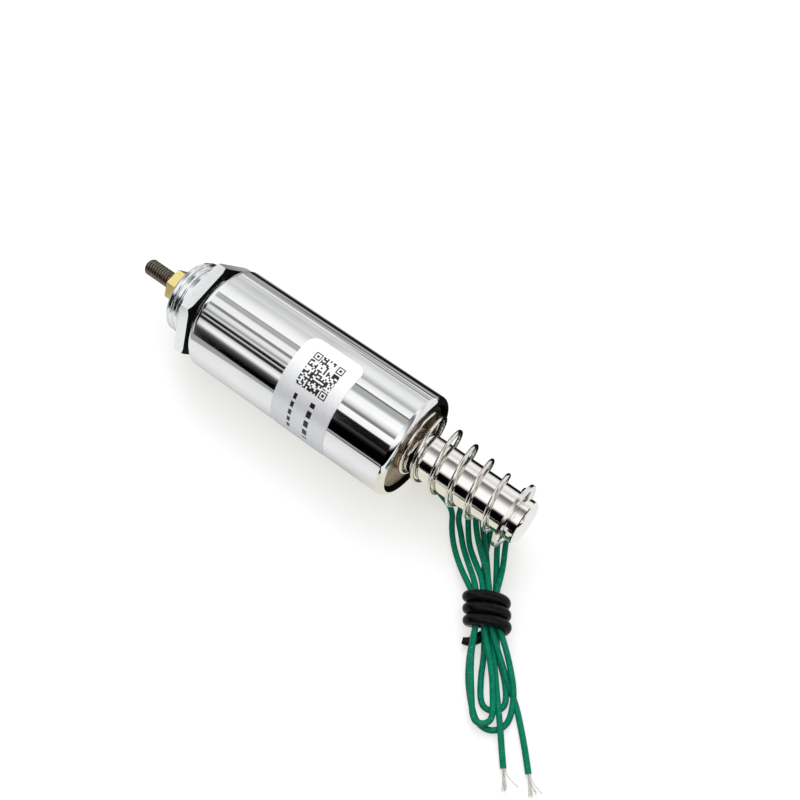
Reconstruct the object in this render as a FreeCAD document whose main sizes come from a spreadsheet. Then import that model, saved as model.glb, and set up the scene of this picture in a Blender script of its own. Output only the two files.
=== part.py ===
import FreeCAD, Part
import math
import os
import re

import Sketcher

# Push-pull tubular solenoid: a steel can with a coil, a fixed core with a threaded nose,
# and a spring-returned plunger whose push rod leaves through the nose.
# The axis runs along X: the nose points to -X and the plunger comes out at +X.
# Stations along the axis are measured from the can's nose end, then centred.

SIZES = {
    # Can and its two end pieces
    "can_diameter": 25.0,
    "can_length": 55.0,
    "can_wall": 1.5,
    "can_rounding": 1.4,
    "end_recess": 0.9,
    "plate_fit": 0.05,
    "front_plate_thick": 4.3,
    "rear_cap_thick": 5.0,
    "rear_cap_chamfer": 0.7,
    # Threaded nose and fixed core
    "nose_diameter": 18.0,
    "nose_length": 10.0,
    "nose_chamfer": 0.8,
    "core_length": 14.8,
    "seat_depth": 3.0,
    "seat_clearance": 0.1,
    "core_bore_clearance": 0.4,
    "bush_diameter": 7.0,
    "bush_length": 6.0,
    "bush_fit": 0.02,
    # Mounting nut on the nose
    "nut_across": 22.0,
    "nut_thick": 2.7,
    "nut_gap": 1.6,
    "nut_turn": 7.0,
    "nut_face_diameter": 24.2,
    "nut_chamfer_angle": 30.0,
    "thread_fit": 0.05,
    "nose_thread_depth": 0.325,
    # Guide sleeve, bobbin and winding
    "sleeve_wall": 0.5,
    "sleeve_fit": 0.02,
    "bobbin_fit": 0.1,
    "bobbin_tube_wall": 0.8,
    "bobbin_flange_thick": 1.2,
    "bobbin_flange_gap": 0.2,
    "bobbin_play": 0.2,
    "winding_fit": 0.05,
    "wrap_thick": 0.3,
    "wrap_gap": 0.52,
    # Plunger and push rod
    "plunger_diameter": 10.0,
    "plunger_running": 0.08,
    "plunger_chamfer": 0.6,
    "plunger_beyond_clip": 2.8,
    "cone_tip_diameter": 5.2,
    "stroke": 10.0,
    "residual_gap": 0.2,
    "rod_diameter": 4.0,
    "rod_fit": 0.02,
    "rod_running": 0.05,
    "rod_seat_depth": 9.0,
    "rod_free_length": 8.4,
    "rod_chamfer": 0.4,
    "rod_nut_across": 7.0,
    "rod_nut_thick": 3.2,
    "rod_nut_face_diameter": 7.7,
    "rod_nut_turn": 4.0,
    "rod_thread_depth": 0.225,
    # Rubber bumper
    "bumper_wide_diameter": 9.0,
    "bumper_wide_length": 0.9,
    "bumper_narrow_diameter": 8.0,
    "bumper_narrow_length": 0.85,
    "bumper_rounding": 0.25,
    "rest_gap": 0.05,
    # Conical return spring and its snap ring
    "spring_wire": 0.9,
    "spring_length": 25.9,
    "spring_base_diameter": 15.8,
    "spring_top_clearance": 0.3,
    "spring_open_turns": 5.25,
    "spring_closed_pitch": 0.96,
    "spring_end_gap": 0.02,
    "spring_phase": 317.0,
    "spring_base_shift": 1.7,
    "spring_shift_angle": 25.0,
    "clip_diameter": 15.2,
    "clip_thick": 0.7,
    "clip_groove_diameter": 8.0,
    "clip_opening": 6.5,
    "clip_relief_diameter": 3.8,
    "clip_relief_radius": 4.5,
    "clip_relief_angle": 105.0,
    "clip_turn": 300.0,
    # Label on the can
    "label_length": 14.5,
    "label_arc": 27.0,
    "label_thick": 0.1,
    "label_corner": 2.5,
    "label_station": 24.97,
    "label_middle_angle": 136.4,
    # Lead exit, leads, hank and tie
    "lead_diameter": 1.3,
    "lead_spacing": 1.5,
    "lead_exit_inset": 1.7,
    "grommet_width": 4.2,
    "grommet_height": 1.9,
    "grommet_fit": 0.02,
    "strand_diameter": 0.8,
    "strand_length": 4.2,
    "tie_diameter": 2.24,
    "tie_pitch": 2.35,
    "tie_half_width": 3.75,
    "tie_half_height": 2.65,
    "tie_height": 3.8,
    # Origin of the part, from the can's front end
    "middle": 29.5,
}

LAYOUT = {
    "can_radius": "can_diameter / 2",
    "can_bore": "can_radius - can_wall",
    "plate_radius": "can_bore - plate_fit",
    "front_plate_back": "end_recess + front_plate_thick",
    "core_end": "front_plate_back + core_length",
    "seat_bottom": "core_end - seat_depth",
    "cap_face": "can_length - end_recess",
    "cap_back": "cap_face - rear_cap_thick",
    "lead_exit_radius": "plate_radius - lead_exit_inset",
    "rod_radius": "rod_diameter / 2",
    "plunger_radius": "plunger_diameter / 2",
    "sleeve_bore": "plunger_radius + plunger_running",
    "sleeve_outside": "sleeve_bore + sleeve_wall",
    "tube_bore": "sleeve_outside + bobbin_fit",
    "tube_outside": "tube_bore + bobbin_tube_wall",
    "winding_bore": "tube_outside + winding_fit",
    "winding_depth": "can_bore - wrap_gap - wrap_thick - winding_fit - winding_bore",
    "winding_outside": "winding_bore + winding_depth",
    "bobbin_length": "cap_back - front_plate_back - bobbin_play",
    "plunger_tip": "seat_bottom + residual_gap + stroke",
    "spring_top_diameter": "plunger_diameter + 2 * spring_top_clearance + 2 * spring_wire",
    "clip_face": "cap_face + spring_length",
    "clip_back": "clip_face + clip_thick",
    "plunger_end": "clip_back + plunger_beyond_clip",
    "bumper_length": "bumper_wide_length + bumper_narrow_length",
    "bumper_end": "0 - nose_length - rest_gap - bumper_length",
    "rod_nut_end": "bumper_end - rod_nut_thick",
    "rod_tip": "rod_nut_end - rod_free_length",
    "rod_end": "plunger_tip + rod_seat_depth",
    "nut_station": "0 - nut_gap - nut_thick",
    "nut_corner_radius": "nut_across / 2 / cos(30)",
    "axis_height": "max(can_radius; nut_corner_radius * sin(60 + nut_turn))",
}

# Leads: points of each route, x from the rear cap's face, z from the floor.
# The first point of a lead is its exit from the grommet.
LEAD_ROUTES = {
    "lead_a": [(4.3, -0.75, 3.25), (8.9, -0.35, 1.35), (13.7, -1.6, 0.8), (15.62, -4.16, 0.8)],
    "lead_b": [(4.4, 0.75, 3.25), (9.4, 0.95, 1.35), (14.9, -0.7, 0.8), (16.82, -3.26, 0.8)],
}
TAIL_ROUTES = {
    "lead_tail_a": [(47.12, -33.66, 0.8), (49.7, -37.1, 0.8), (52.79, -40.09, 0.72)],
    "lead_tail_b": [(50.29, -31.28, 0.8), (52.09, -33.68, 0.8), (55.29, -36.1, 0.75), (57.4, -38.0, 0.72)],
}
CORNER_SHARE = 0.45

# Hank: its middle is at the tie, and it runs along the floor in HANK_DIRECTION.
# Each section is its place along the hank, sideways shift, half width, underside and top.
HANK_MIDDLE = (32.1, -16.8)
HANK_DIRECTION = (0.6, -0.8)
HANK_SECTIONS = [
    (-20.0, 0.0, 6.4, 0.0, 1.6),
    (-11.0, 0.0, 4.2, 0.3, 2.7),
    (-4.8, 0.0, 2.3, 2.45, 5.15),
    (4.8, 0.0, 2.3, 2.45, 5.15),
    (12.0, 0.8, 4.3, 0.2, 2.8),
    (22.5, 1.4, 5.6, 0.0, 1.7),
]
TIE_TURNS = 3
TIE_STUB = [(4.3, -2.3, 1.2), (5.1, -3.6, 1.22), (5.9, -4.6, 1.26)]

POINTS_PER_TURN = 16
SPRING_BLEND = 0.25
X_AXIS = FreeCAD.Vector(1, 0, 0)

os.makedirs("parts", exist_ok=True)
doc = FreeCAD.newDocument("TubularSolenoid")


def linked(formula, inside_layout=False):
    """Point each size in a formula at the sheet that holds it."""

    def with_sheet(match):
        word = match.group()
        if word in SIZES:
            return "Sizes." + word
        if word in LAYOUT and not inside_layout:
            return "Layout." + word
        return word

    return re.sub(r"[a-z][a-z_]*", with_sheet, formula)


def fill_sheets():
    """Write the driving sizes as plain numbers, and the layout as formulas of them."""
    sizes = doc.addObject("Spreadsheet::Sheet", "Sizes")
    for row, (name, number) in enumerate(SIZES.items(), 1):
        sizes.set(f"A{row}", name)
        sizes.set(f"B{row}", str(number))
        sizes.setAlias(f"B{row}", name)
    layout = doc.addObject("Spreadsheet::Sheet", "Layout")
    for row, (name, formula) in enumerate(LAYOUT.items(), 1):
        layout.set(f"A{row}", name)
        layout.set(f"B{row}", "=" + linked(formula, inside_layout=True))
        layout.setAlias(f"B{row}", name)
    doc.recompute()
    return sizes


sheet = fill_sheets()


def value(formula):
    """The number that a formula of the sheets' names has now."""
    return float(sheet.evalExpression(linked(formula)))


def place(piece, station, turn="0"):
    """Put a piece on the axis at a station, turned about the axis."""
    piece.Placement = FreeCAD.Placement(FreeCAD.Vector(), FreeCAD.Rotation(X_AXIS, 1))
    piece.setExpression(".Placement.Base.x", linked(f"{station} - middle"))
    piece.setExpression(".Placement.Base.z", linked("axis_height"))
    piece.setExpression(".Placement.Rotation.Angle", linked(turn))


def new_sketch(body, name, plane):
    """A sketch on one of the body's own origin planes."""
    sketch = body.newObject("Sketcher::SketchObject", name)
    support = [item for item in body.Origin.OriginFeatures if item.Role == plane]
    sketch.AttachmentSupport = [(support[0], "")]
    sketch.MapMode = "FlatFace"
    return sketch


def pin(sketch, direction, geometry, point, formula):
    """Bind one coordinate of a point to a formula; zero lies on the sketch's axis."""
    if formula == "0":
        axis = -2 if direction == "X" else -1
        sketch.addConstraint(Sketcher.Constraint("PointOnObject", geometry, point, axis))
        return
    rule = Sketcher.Constraint("Distance" + direction, geometry, point, value(formula))
    number = sketch.addConstraint(rule)
    sketch.setExpression(f"Constraints[{number}]", linked(formula))


def draw_loop(sketch, corners):
    """A closed loop of straight lines with every corner bound to a pair of formulas."""
    first = sketch.GeometryCount
    count = len(corners)
    points = [FreeCAD.Vector(value(across), value(up), 0) for across, up in corners]
    for index, point in enumerate(points):
        sketch.addGeometry(Part.LineSegment(point, points[(index + 1) % count]), False)
    for index in range(count):
        following = first + (index + 1) % count
        sketch.addConstraint(Sketcher.Constraint("Coincident", first + index, 2, following, 1))
    for index, (across, up) in enumerate(corners):
        pin(sketch, "X", first + index, 1, across)
        pin(sketch, "Y", first + index, 1, up)


def draw_circle(sketch, radius, across="0", up="0"):
    """A circle with its radius and centre bound to formulas."""
    centre = FreeCAD.Vector(value(across), value(up), 0)
    circle = sketch.addGeometry(Part.Circle(centre, FreeCAD.Vector(0, 0, 1), value(radius)), False)
    number = sketch.addConstraint(Sketcher.Constraint("Radius", circle, value(radius)))
    sketch.setExpression(f"Constraints[{number}]", linked(radius))
    pin(sketch, "X", circle, 3, across)
    pin(sketch, "Y", circle, 3, up)


def draw_hexagon(sketch, corner_radius):
    """A regular hexagon on a construction circle, with one corner on the flat axis."""
    radius = value(corner_radius)
    corners = [
        FreeCAD.Vector(radius * math.cos(step * math.pi / 3), radius * math.sin(step * math.pi / 3), 0)
        for step in range(6)
    ]
    for index, corner in enumerate(corners):
        sketch.addGeometry(Part.LineSegment(corner, corners[(index + 1) % 6]), False)
    circle = sketch.addGeometry(Part.Circle(FreeCAD.Vector(), FreeCAD.Vector(0, 0, 1), radius), True)
    sketch.addConstraint(Sketcher.Constraint("Coincident", circle, 3, -1, 1))
    number = sketch.addConstraint(Sketcher.Constraint("Radius", circle, radius))
    sketch.setExpression(f"Constraints[{number}]", linked(corner_radius))
    for index in range(6):
        sketch.addConstraint(Sketcher.Constraint("Coincident", index, 2, (index + 1) % 6, 1))
        sketch.addConstraint(Sketcher.Constraint("PointOnObject", index, 1, circle))
    for index in range(1, 6):
        sketch.addConstraint(Sketcher.Constraint("Equal", 0, index))
    sketch.addConstraint(Sketcher.Constraint("PointOnObject", 0, 1, -1))


def draw_slot(sketch, width, height, up):
    """A slot with round ends, centred sideways, at a given height in the sketch."""
    radius = value(height) / 2
    reach = value(width) / 2 - radius
    level = value(up)
    upward = FreeCAD.Vector(0, 0, 1)
    right = FreeCAD.Vector(reach, level, 0)
    left = FreeCAD.Vector(-reach, level, 0)
    rise = FreeCAD.Vector(0, radius, 0)
    quarter = math.pi / 2
    sketch.addGeometry(Part.LineSegment(right + rise, left + rise), False)
    sketch.addGeometry(Part.ArcOfCircle(Part.Circle(left, upward, radius), quarter, 3 * quarter), False)
    sketch.addGeometry(Part.LineSegment(left - rise, right - rise), False)
    sketch.addGeometry(Part.ArcOfCircle(Part.Circle(right, upward, radius), 3 * quarter, 5 * quarter), False)
    sketch.addConstraint(Sketcher.Constraint("Tangent", 0, 2, 1, 1))
    sketch.addConstraint(Sketcher.Constraint("Tangent", 1, 2, 2, 1))
    sketch.addConstraint(Sketcher.Constraint("Tangent", 2, 2, 3, 1))
    sketch.addConstraint(Sketcher.Constraint("Tangent", 3, 2, 0, 1))
    sketch.addConstraint(Sketcher.Constraint("Equal", 1, 3))
    sketch.addConstraint(Sketcher.Constraint("Symmetric", 1, 3, 3, 3, -2))
    number = sketch.addConstraint(Sketcher.Constraint("Radius", 1, radius))
    sketch.setExpression(f"Constraints[{number}]", linked(f"({height}) / 2"))
    number = sketch.addConstraint(Sketcher.Constraint("DistanceX", 1, 3, 3, 3, 2 * reach))
    sketch.setExpression(f"Constraints[{number}]", linked(f"({width}) - ({height})"))
    pin(sketch, "Y", 3, 3, up)


def new_body(name):
    return doc.addObject("PartDesign::Body", name)


def revolved(name, station, profile, turn="0"):
    """A turned piece: a closed profile of (along, radius) corners swept round the axis."""
    body = new_body(name)
    sketch = new_sketch(body, name + "_profile", "XZ_Plane")
    draw_loop(sketch, profile)
    revolution = body.newObject("PartDesign::Revolution", name + "_turned")
    revolution.Profile = sketch
    revolution.ReferenceAxis = (sketch, ["H_Axis"])
    revolution.Angle = 360
    sketch.Visibility = False
    place(body, station, turn)
    doc.recompute()
    return body


def padded(body, sketch, name, length):
    """A pad of a cross-section sketch along +X."""
    pad = body.newObject("PartDesign::Pad", name)
    pad.Profile = sketch
    pad.setExpression("Length", linked(length))
    sketch.Visibility = False
    doc.recompute()
    return pad


def pocketed(body, sketch, name, length):
    """A pocket along +X, which has to take material away."""
    before = body.Tip.Shape.Volume
    pocket = body.newObject("PartDesign::Pocket", name)
    pocket.Profile = sketch
    pocket.Reversed = True
    pocket.setExpression("Length", linked(length))
    sketch.Visibility = False
    doc.recompute()
    if pocket.Shape.Volume > before - 1e-3:
        raise RuntimeError(name + " removed nothing")
    return pocket


def grooved(body, sketch, name):
    """A cut turned all round the axis, which has to take material away."""
    before = body.Tip.Shape.Volume
    groove = body.newObject("PartDesign::Groove", name)
    groove.Profile = sketch
    groove.ReferenceAxis = (sketch, ["H_Axis"])
    groove.Angle = 360
    sketch.Visibility = False
    doc.recompute()
    if groove.Shape.Volume > before - 1e-3:
        raise RuntimeError(name + " removed nothing")


def circles_at(shape, radius, along):
    """The names of the round edges with one radius at one place along the axis."""
    names = []
    for number, edge in enumerate(shape.Edges, 1):
        if not isinstance(edge.Curve, Part.Circle):
            continue
        same_radius = abs(edge.Curve.Radius - radius) < 1e-4
        same_place = abs(edge.Curve.Center.x - along) < 1e-4
        if same_radius and same_place:
            names.append(f"Edge{number}")
    return names


def dressed(body, kind, name, edges, size):
    """A fillet or chamfer on named edges of the body's last feature."""
    base = body.Tip
    feature = body.newObject("PartDesign::" + kind, name)
    feature.Base = (base, edges)
    feature.setExpression("Radius" if kind == "Fillet" else "Size", linked(size))
    doc.recompute()
    return feature


def make_can():
    """The steel tube, with its two outer rims rounded over."""
    profile = [("0", "can_bore"), ("can_length", "can_bore"), ("can_length", "can_radius"), ("0", "can_radius")]
    body = revolved("can", "0", profile)
    shape = body.Tip.Shape
    rims = circles_at(shape, value("can_radius"), 0) + circles_at(shape, value("can_radius"), value("can_length"))
    dressed(body, "Fillet", "can_rims", rims, "can_rounding")


def make_front_core():
    """The nose, the front plate and the fixed core in one turned piece, with its conical seat.

    The thread is plain: its outer diameter where it is free, its pitch diameter inside the nut.
    """
    bush_bore = "bush_diameter / 2 + bush_fit"
    rod_bore = "rod_radius + core_bore_clearance"
    thread = "nose_diameter / 2"
    engaged = "nose_diameter / 2 - nose_thread_depth"
    nut_front = "nose_length + nut_station - thread_fit"
    nut_back = "nose_length + nut_station + nut_thick + thread_fit"
    plate = "nose_length + end_recess"
    back = "nose_length + front_plate_back"
    bottom = "nose_length + seat_bottom"
    end = "nose_length + core_end"
    profile = [
        ("0", bush_bore),
        ("bush_length", bush_bore),
        ("bush_length", rod_bore),
        (bottom, rod_bore),
        (bottom, "cone_tip_diameter / 2 + seat_clearance"),
        (end, "sleeve_bore"),
        (end, "sleeve_outside"),
        (back, "sleeve_outside"),
        (back, "plate_radius"),
        (plate, "plate_radius"),
        (plate, thread),
        (nut_back, thread),
        (nut_back, engaged),
        (nut_front, engaged),
        (nut_front, thread),
        ("nose_chamfer", thread),
        ("0", "nose_diameter / 2 - nose_chamfer"),
    ]
    revolved("front_core", "0 - nose_length", profile)


def make_rear_cap():
    """The rear cap, seated in the can's end, with the guide sleeve's bore and the lead hole."""
    bore = "sleeve_outside + sleeve_fit"
    thick = "rear_cap_thick"
    flat = "plate_radius - rear_cap_chamfer"
    profile = [
        ("0", bore),
        (thick, bore),
        (thick, flat),
        (thick + " - rear_cap_chamfer", "plate_radius"),
        ("0", "plate_radius"),
    ]
    body = revolved("rear_cap", "cap_back", profile)
    sketch = new_sketch(body, "lead_hole", "YZ_Plane")
    width = "grommet_width + 2 * grommet_fit"
    height = "grommet_height + 2 * grommet_fit"
    draw_slot(sketch, width, height, "0 - lead_exit_radius")
    pocketed(body, sketch, "lead_hole_cut", "rear_cap_thick")


def make_lead_grommet():
    """The oval grommet in the cap's lead hole, flush with the cap's face."""
    body = new_body("lead_grommet")
    sketch = new_sketch(body, "grommet_outline", "YZ_Plane")
    draw_slot(sketch, "grommet_width", "grommet_height", "0 - lead_exit_radius")
    padded(body, sketch, "grommet_pad", "rear_cap_thick")
    place(body, "cap_back")


def make_coil():
    """The bobbin, its winding and the tape round the winding."""
    length = "bobbin_length"
    flange = "bobbin_flange_thick"
    rim = "can_bore - bobbin_flange_gap"
    profile = [
        ("0", "tube_bore"),
        (length, "tube_bore"),
        (length, rim),
        (f"{length} - {flange}", rim),
        (f"{length} - {flange}", "tube_outside"),
        (flange, "tube_outside"),
        (flange, rim),
        ("0", rim),
    ]
    revolved("bobbin", "front_plate_back", profile)
    wound = f"{length} - 2 * {flange}"
    start = f"front_plate_back + {flange}"
    ring("coil_winding", start, wound, "winding_bore", "winding_outside")
    wrap_bore = "winding_outside + winding_fit"
    ring("coil_wrap", start, wound, wrap_bore, wrap_bore + " + wrap_thick")


def ring(name, station, length, bore, outside):
    """A plain turned tube."""
    profile = [("0", bore), (length, bore), (length, outside), ("0", outside)]
    return revolved(name, station, profile)


def make_guides():
    """The thin sleeve that guides the plunger and the bush that guides the rod."""
    ring("guide_sleeve", "core_end", "cap_face - core_end", "sleeve_bore", "sleeve_outside")
    ring("rod_bush", "0 - nose_length", "bush_length", "rod_radius + rod_running", "bush_diameter / 2")


def hexagon_nut(name, station, across, thick, bore, face_diameter, turn):
    """A hexagon nut with its corners chamfered towards both faces."""
    corner = f"({across}) / 2 / cos(30)"
    body = new_body(name)
    sketch = new_sketch(body, name + "_outline", "YZ_Plane")
    draw_hexagon(sketch, corner)
    draw_circle(sketch, bore)
    padded(body, sketch, name + "_pad", thick)
    chamfers = new_sketch(body, name + "_corner_cuts", "XZ_Plane")
    face = f"({face_diameter}) / 2"
    outside = f"{corner} + 1"
    depth = f"({outside} - {face}) * tan(nut_chamfer_angle)"
    draw_loop(chamfers, [("0", face), (depth, outside), ("0", outside)])
    draw_loop(chamfers, [(thick, face), (thick, outside), (f"{thick} - {depth}", outside)])
    grooved(body, chamfers, name + "_corners")
    place(body, station, turn)


def make_nuts():
    """The large nut on the threaded nose and the small one on the push rod."""
    nose_bore = "nose_diameter / 2 - nose_thread_depth + thread_fit"
    rod_bore = "rod_radius - rod_thread_depth + rod_fit"
    hexagon_nut(
        "mounting_nut", "nut_station", "nut_across", "nut_thick", nose_bore, "nut_face_diameter", "nut_turn"
    )
    hexagon_nut(
        "rod_nut", "rod_nut_end", "rod_nut_across", "rod_nut_thick", rod_bore, "rod_nut_face_diameter", "rod_nut_turn"
    )


def make_label():
    """The sticker wrapped on the side of the can: rounded while still thick, then hollowed to a sheet."""
    outside = "can_radius + label_thick"
    inside = "can_radius - label_corner"
    length = "label_length"
    profile = [("0", inside), (length, inside), (length, outside), ("0", outside)]
    body = revolved("label", "label_station", profile, "label_middle_angle - 90")
    turned = body.Tip
    turned.Midplane = True
    turned.setExpression("Angle", linked("label_arc / can_radius * 180 / pi"))
    doc.recompute()
    corners = []
    for number, edge in enumerate(turned.Shape.Edges, 1):
        if abs(edge.Length - value("label_corner + label_thick")) < 1e-4:
            corners.append(f"Edge{number}")
    dressed(body, "Fillet", "label_corners", corners, "label_corner")
    hollow = new_sketch(body, "label_inside", "XZ_Plane")
    draw_loop(hollow, [("0", "0"), (length, "0"), (length, "can_radius"), ("0", "can_radius")])
    grooved(body, hollow, "label_hollow")


def make_plunger():
    """The plunger: a cone at the core's end, the snap ring's groove and a chamfered outer end."""
    rod_bore = "rod_radius + rod_fit"
    groove = "clip_face - plunger_tip"
    groove_end = "clip_back - plunger_tip"
    end = "plunger_end - plunger_tip"
    profile = [
        ("0", rod_bore),
        ("0", "cone_tip_diameter / 2"),
        ("seat_depth", "plunger_radius"),
        (groove, "plunger_radius"),
        (groove, "clip_groove_diameter / 2"),
        (groove_end, "clip_groove_diameter / 2"),
        (groove_end, "plunger_radius"),
        (f"{end} - plunger_chamfer", "plunger_radius"),
        (end, "plunger_radius - plunger_chamfer"),
        (end, "0"),
        ("rod_seat_depth", "0"),
        ("rod_seat_depth", rod_bore),
    ]
    revolved("plunger", "plunger_tip", profile)


def make_push_rod():
    """The rod that runs from inside the plunger out through the nose.

    Its thread is plain: the outer diameter where it is free, the pitch diameter inside the nut.
    """
    length = "rod_end - rod_tip"
    engaged = "rod_radius - rod_thread_depth"
    nut_front = "rod_free_length - rod_fit"
    nut_back = "rod_free_length + rod_nut_thick + rod_fit"
    profile = [
        ("0", "0"),
        (length, "0"),
        (length, "rod_radius"),
        (nut_back, "rod_radius"),
        (nut_back, engaged),
        (nut_front, engaged),
        (nut_front, "rod_radius"),
        ("rod_chamfer", "rod_radius"),
        ("0", "rod_radius - rod_chamfer"),
    ]
    revolved("push_rod", "rod_tip", profile)


def make_bumper():
    """The stepped rubber bumper that stops against the nose."""
    bore = "rod_radius + rod_fit"
    wide = "bumper_wide_diameter / 2"
    narrow = "bumper_narrow_diameter / 2"
    profile = [
        ("0", bore),
        ("bumper_length", bore),
        ("bumper_length", wide),
        ("bumper_narrow_length", wide),
        ("bumper_narrow_length", narrow),
        ("0", narrow),
    ]
    body = revolved("bumper", "bumper_end", profile)
    shape = body.Tip.Shape
    edges = circles_at(shape, value(narrow), 0)
    edges += circles_at(shape, value(wide), value("bumper_length"))
    edges += circles_at(shape, value(wide), value("bumper_narrow_length"))
    dressed(body, "Fillet", "bumper_rims", edges, "bumper_rounding")


def make_spring_clip():
    """The open snap ring in the plunger's groove, which holds the spring's small end."""
    body = new_body("spring_clip")
    disc = new_sketch(body, "clip_outline", "YZ_Plane")
    draw_circle(disc, "clip_diameter / 2")
    padded(body, disc, "clip_disc", "clip_thick")
    bore = new_sketch(body, "clip_bore", "YZ_Plane")
    draw_circle(bore, "clip_groove_diameter / 2")
    pocketed(body, bore, "clip_bore_cut", "clip_thick")
    mouth = new_sketch(body, "clip_mouth", "YZ_Plane")
    half = "clip_opening / 2"
    reach = "clip_diameter"
    draw_loop(mouth, [("0", "0 - " + half), (reach, "0 - " + half), (reach, half), ("0", half)])
    pocketed(body, mouth, "clip_mouth_cut", "clip_thick")
    reliefs = new_sketch(body, "clip_reliefs", "YZ_Plane")
    across = "clip_relief_radius * cos(clip_relief_angle)"
    up = "clip_relief_radius * sin(clip_relief_angle)"
    draw_circle(reliefs, "clip_relief_diameter / 2", across, up)
    draw_circle(reliefs, "clip_relief_diameter / 2", across, "0 - " + up)
    pocketed(body, reliefs, "clip_relief_cuts", "clip_thick")
    place(body, "clip_face", "clip_turn")


def swept(points, radius):
    """A round solid along a smooth curve through the points."""
    curve = Part.BSplineCurve()
    curve.interpolate(points)
    path = Part.Wire(curve.toShape())
    start = Part.Circle(points[0], curve.tangent(curve.FirstParameter)[0], radius)
    return path.makePipeShell([Part.Wire(start.toShape())], True, False), path.Length


def smooth_step(share):
    share = min(1, max(0, share))
    return share * share * (3 - 2 * share)


def spring_points():
    """The wire's centre line: a closed turn, then evenly pitched turns on a leaning cone.

    The small end is open and centred on the plunger; the closed base sits off centre on the cap.
    """
    wire = value("spring_wire")
    rise = value("spring_length") - wire - 2 * value("spring_end_gap")
    closed = value("spring_closed_pitch")
    steps = round((value("spring_open_turns") + 1) * POINTS_PER_TURN)
    pitches = []
    for step in range(steps):
        turn = (step + 0.5) / POINTS_PER_TURN
        pitches.append(smooth_step((turn - 1) / SPRING_BLEND + 0.5))
    open_pitch = (rise * POINTS_PER_TURN - closed * steps) / sum(pitches)
    base = value("spring_base_diameter") / 2 - wire / 2
    top = value("spring_top_diameter") / 2 - wire / 2
    shift = value("spring_base_shift")
    shift_angle = math.radians(value("spring_shift_angle"))
    along = 0.0
    points = []
    for step in range(steps + 1):
        angle = math.radians(value("spring_phase")) + 2 * math.pi * step / POINTS_PER_TURN
        radius = base + (top - base) * along / rise
        off_centre = shift * (1 - along / rise)
        across = radius * math.cos(angle) + off_centre * math.cos(shift_angle)
        up = radius * math.sin(angle) + off_centre * math.sin(shift_angle)
        points.append(FreeCAD.Vector(along, across, up))
        if step < steps:
            along += (closed + open_pitch * pitches[step]) / POINTS_PER_TURN
    return points


def checked_sweep(name, shape, radius, length):
    """A swept piece, with its volume compared with section times length."""
    expected = math.pi * radius * radius * length
    if abs(shape.Volume / expected - 1) > 0.02:
        raise RuntimeError(f"{name}: volume {shape.Volume:.1f}, expected {expected:.1f}")
    piece = doc.addObject("Part::Feature", name)
    piece.Shape = shape
    return piece


def make_return_spring():
    """The conical spring between the rear cap and the snap ring."""
    radius = value("spring_wire") / 2
    shape, length = swept(spring_points(), radius)
    piece = checked_sweep("return_spring", shape, radius, length)
    place(piece, "cap_face + spring_end_gap + spring_wire / 2")


def cord_origin():
    """The point on the floor below the rear cap's face, where cord routes are measured from."""
    return FreeCAD.Vector(value("cap_face - middle"), 0, 0)


def rounded_route(name, points):
    """Straight runs joined by tangent arcs, each as large as its two runs allow."""
    edges = []
    radii = []
    start = points[0]
    for before, corner, after in zip(points, points[1:], points[2:]):
        arriving = (corner - before).normalize()
        leaving = (after - corner).normalize()
        turn = arriving.getAngle(leaving)
        reach = CORNER_SHARE * min(before.distanceToPoint(corner), after.distanceToPoint(corner))
        radius = reach / math.tan(turn / 2)
        inward = (leaving - arriving).normalize()
        first = corner - arriving * reach
        last = corner + leaving * reach
        middle = corner + inward * (radius / math.cos(turn / 2) - radius)
        edges.append(Part.LineSegment(start, first).toShape())
        edges.append(Part.Arc(first, middle, last).toShape())
        radii.append(round(radius, 1))
        start = last
    edges.append(Part.LineSegment(start, points[-1]).toShape())
    print(name, "bend radii", radii)
    return Part.Wire(edges)


def make_tube(name, points):
    """A plain round cord along a route."""
    radius = value("lead_diameter") / 2
    path = rounded_route(name, points)
    section = Part.Circle(points[0], (points[1] - points[0]).normalize(), radius)
    shape = path.makePipeShell([Part.Wire(section.toShape())], True, False)
    piece = checked_sweep(name, shape, radius, path.Length)
    piece.Placement = FreeCAD.Placement(cord_origin(), FreeCAD.Rotation())


def make_leads():
    """The two leads from the grommet to the hank, and their two tails beyond it."""
    side = value("lead_spacing") / 2
    level = value("axis_height - lead_exit_radius")
    for name, sign in (("lead_a", -1), ("lead_b", 1)):
        leaving = FreeCAD.Vector(0, sign * side, level)
        make_tube(name, [leaving] + [FreeCAD.Vector(*point) for point in LEAD_ROUTES[name]])
    for name, route in TAIL_ROUTES.items():
        points = [FreeCAD.Vector(*point) for point in route]
        make_tube(name, points)
        make_strand_end(name.replace("lead_tail", "strand_end"), points[-2], points[-1])


def make_strand_end(name, before, end):
    """The bare strands at the end of a lead, as one thin rod."""
    rod = doc.addObject("Part::Cylinder", name)
    rod.setExpression("Radius", linked("strand_diameter / 2"))
    rod.setExpression("Height", linked("strand_length"))
    facing = FreeCAD.Rotation(FreeCAD.Vector(0, 0, 1), end - before)
    rod.Placement = FreeCAD.Placement(cord_origin() + end, facing)


def on_hank(along, sideways, height):
    """A point given along and across the hank, above the floor."""
    ahead, aside = HANK_DIRECTION
    east = HANK_MIDDLE[0] + along * ahead - sideways * aside
    north = HANK_MIDDLE[1] + along * aside + sideways * ahead
    return FreeCAD.Vector(east, north, height)


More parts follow.
